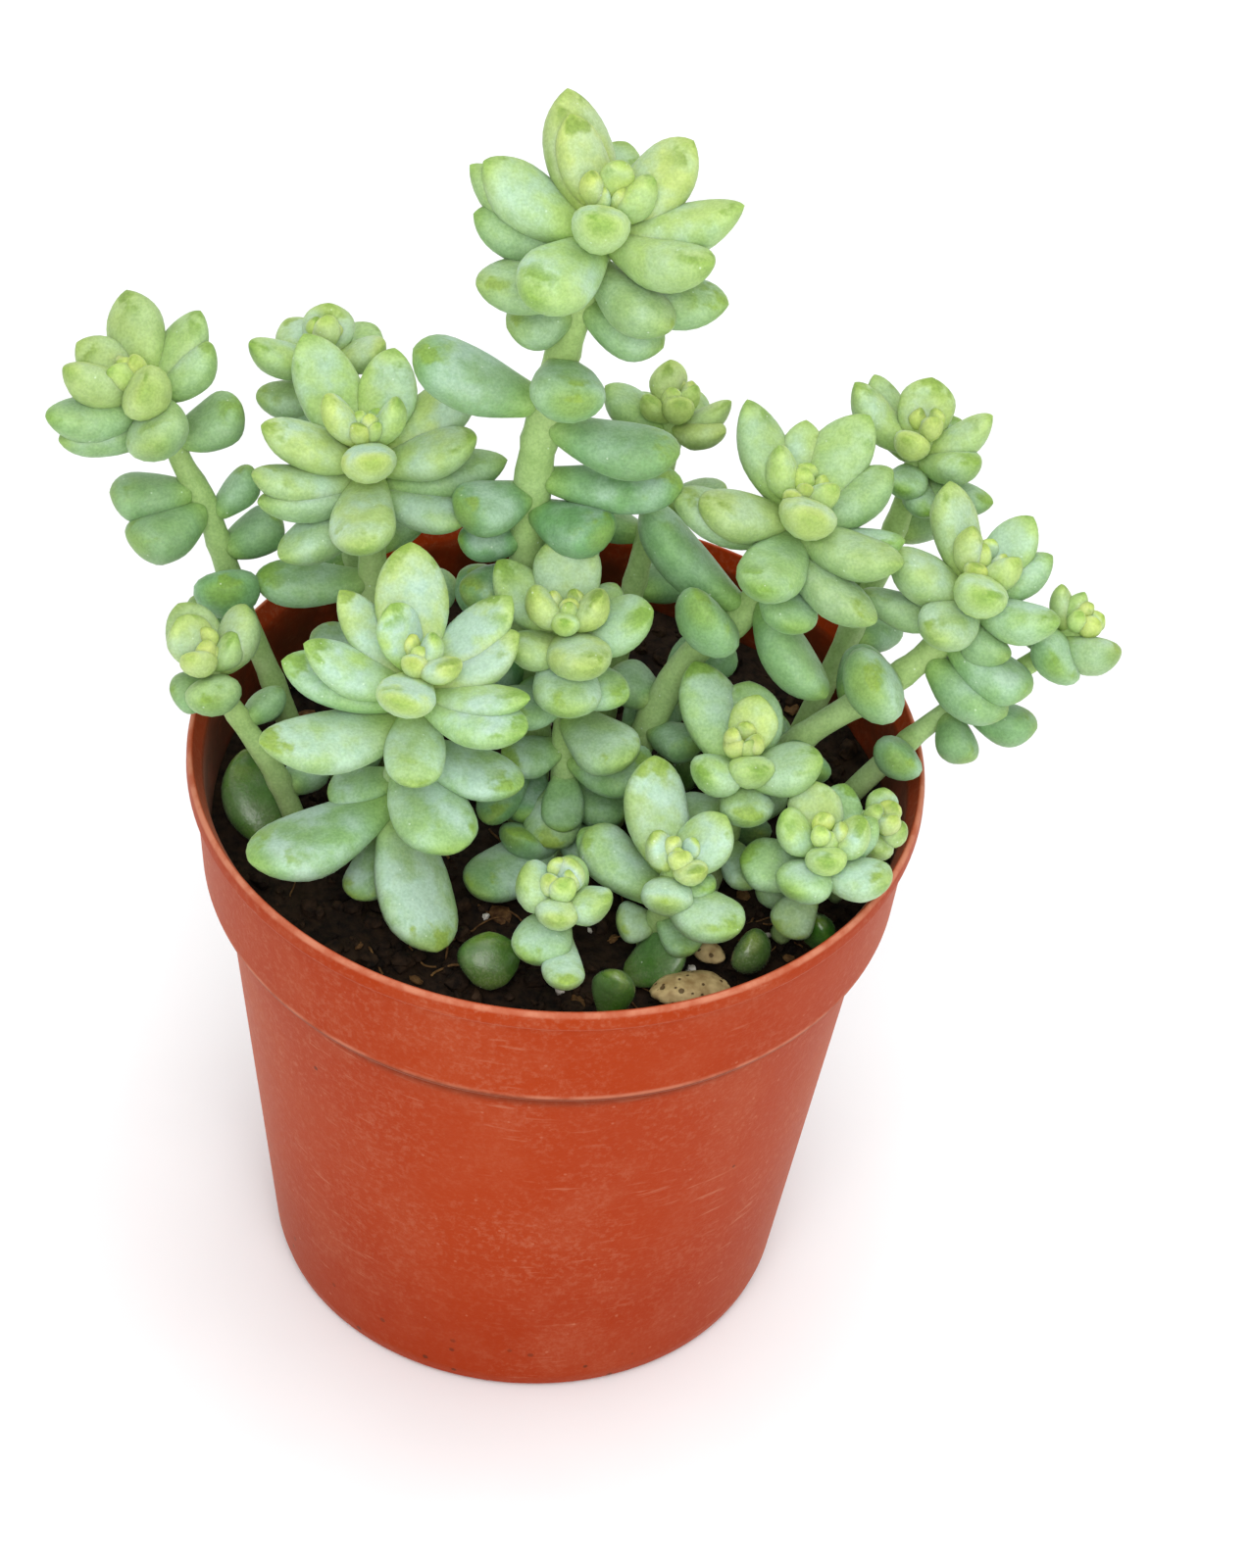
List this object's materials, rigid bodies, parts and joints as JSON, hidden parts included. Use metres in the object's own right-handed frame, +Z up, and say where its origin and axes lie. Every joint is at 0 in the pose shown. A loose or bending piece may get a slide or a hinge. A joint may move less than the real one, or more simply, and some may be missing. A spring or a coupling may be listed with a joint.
{
  "type": "potted burro's tail plant",
  "caption": "Young burro's tail succulent with plump pale green leaves in rosettes on short stems, in a small round terracotta-orange plastic nursery pot.",
  "frame": {"origin": "centre of the pot's underside, on the surface it stands on", "axes": "+Z up; -Y towards the plant's front, where the low shoots lean over the rim; +X to the right seen from the front"},
  "size_m": [0.1242, 0.085, 0.1536],
  "materials": {
    "pot_plastic": "matt terracotta-orange polypropylene, dusty, with scuffs and a paler worn rim edge",
    "soil": "moist dark peat compost with a few pale grains and brown fibres",
    "leaf": "plump leaf skin with a powdery bloom, yellow-green at the growing tip and blue-green outside",
    "stem": "smooth fleshy stem with blue-green leaves, yellow-green at the joints",
    "low_leaf": "smooth dark green shaded leaf, bloom rubbed off",
    "pebble": "matt tan stone with dark specks",
    "dried_leaf": "dry, papery, straw brown"
  },
  "bodies": {
    "root": {"dried_leaf": "dried_leaf", "dried_stalk": "dried_leaf", "low_leaf_back_right": "low_leaf", "low_leaf_edge": "low_leaf", "low_leaf_front": "low_leaf", "low_leaf_front_right": "low_leaf", "low_leaf_left": "low_leaf", "low_leaf_right": "low_leaf", "low_leaf_rim": "low_leaf", "pebble_large": "pebble", "pebble_small": "pebble", "pot": "pot_plastic", "rosette_back": "leaf", "rosette_back_left": "leaf", "rosette_back_right": "leaf", "rosette_centre": "leaf", "rosette_far_left": "leaf", "rosette_far_right": "leaf", "rosette_front": "leaf", "rosette_front_edge": "leaf", "rosette_front_left": "leaf", "rosette_front_right": "leaf", "rosette_inner_right": "leaf", "rosette_left_rim": "leaf", "rosette_mid_left": "leaf", "rosette_mid_right": "leaf", "rosette_right": "leaf", "rosette_right_rim": "leaf", "rosette_tallest": "leaf", "soil": "soil", "stem_back": "stem", "stem_back_left": "stem", "stem_back_right": "stem", "stem_centre": "stem", "stem_far_left": "stem", "stem_far_right": "stem", "stem_front": "stem", "stem_front_edge": "stem", "stem_front_left": "stem", "stem_front_right": "stem", "stem_inner_right": "stem", "stem_left_rim": "stem", "stem_mid_left": "stem", "stem_mid_right": "stem", "stem_right": "stem", "stem_right_rim": "stem", "stem_tallest": "stem"}
  },
  "joints": []
}
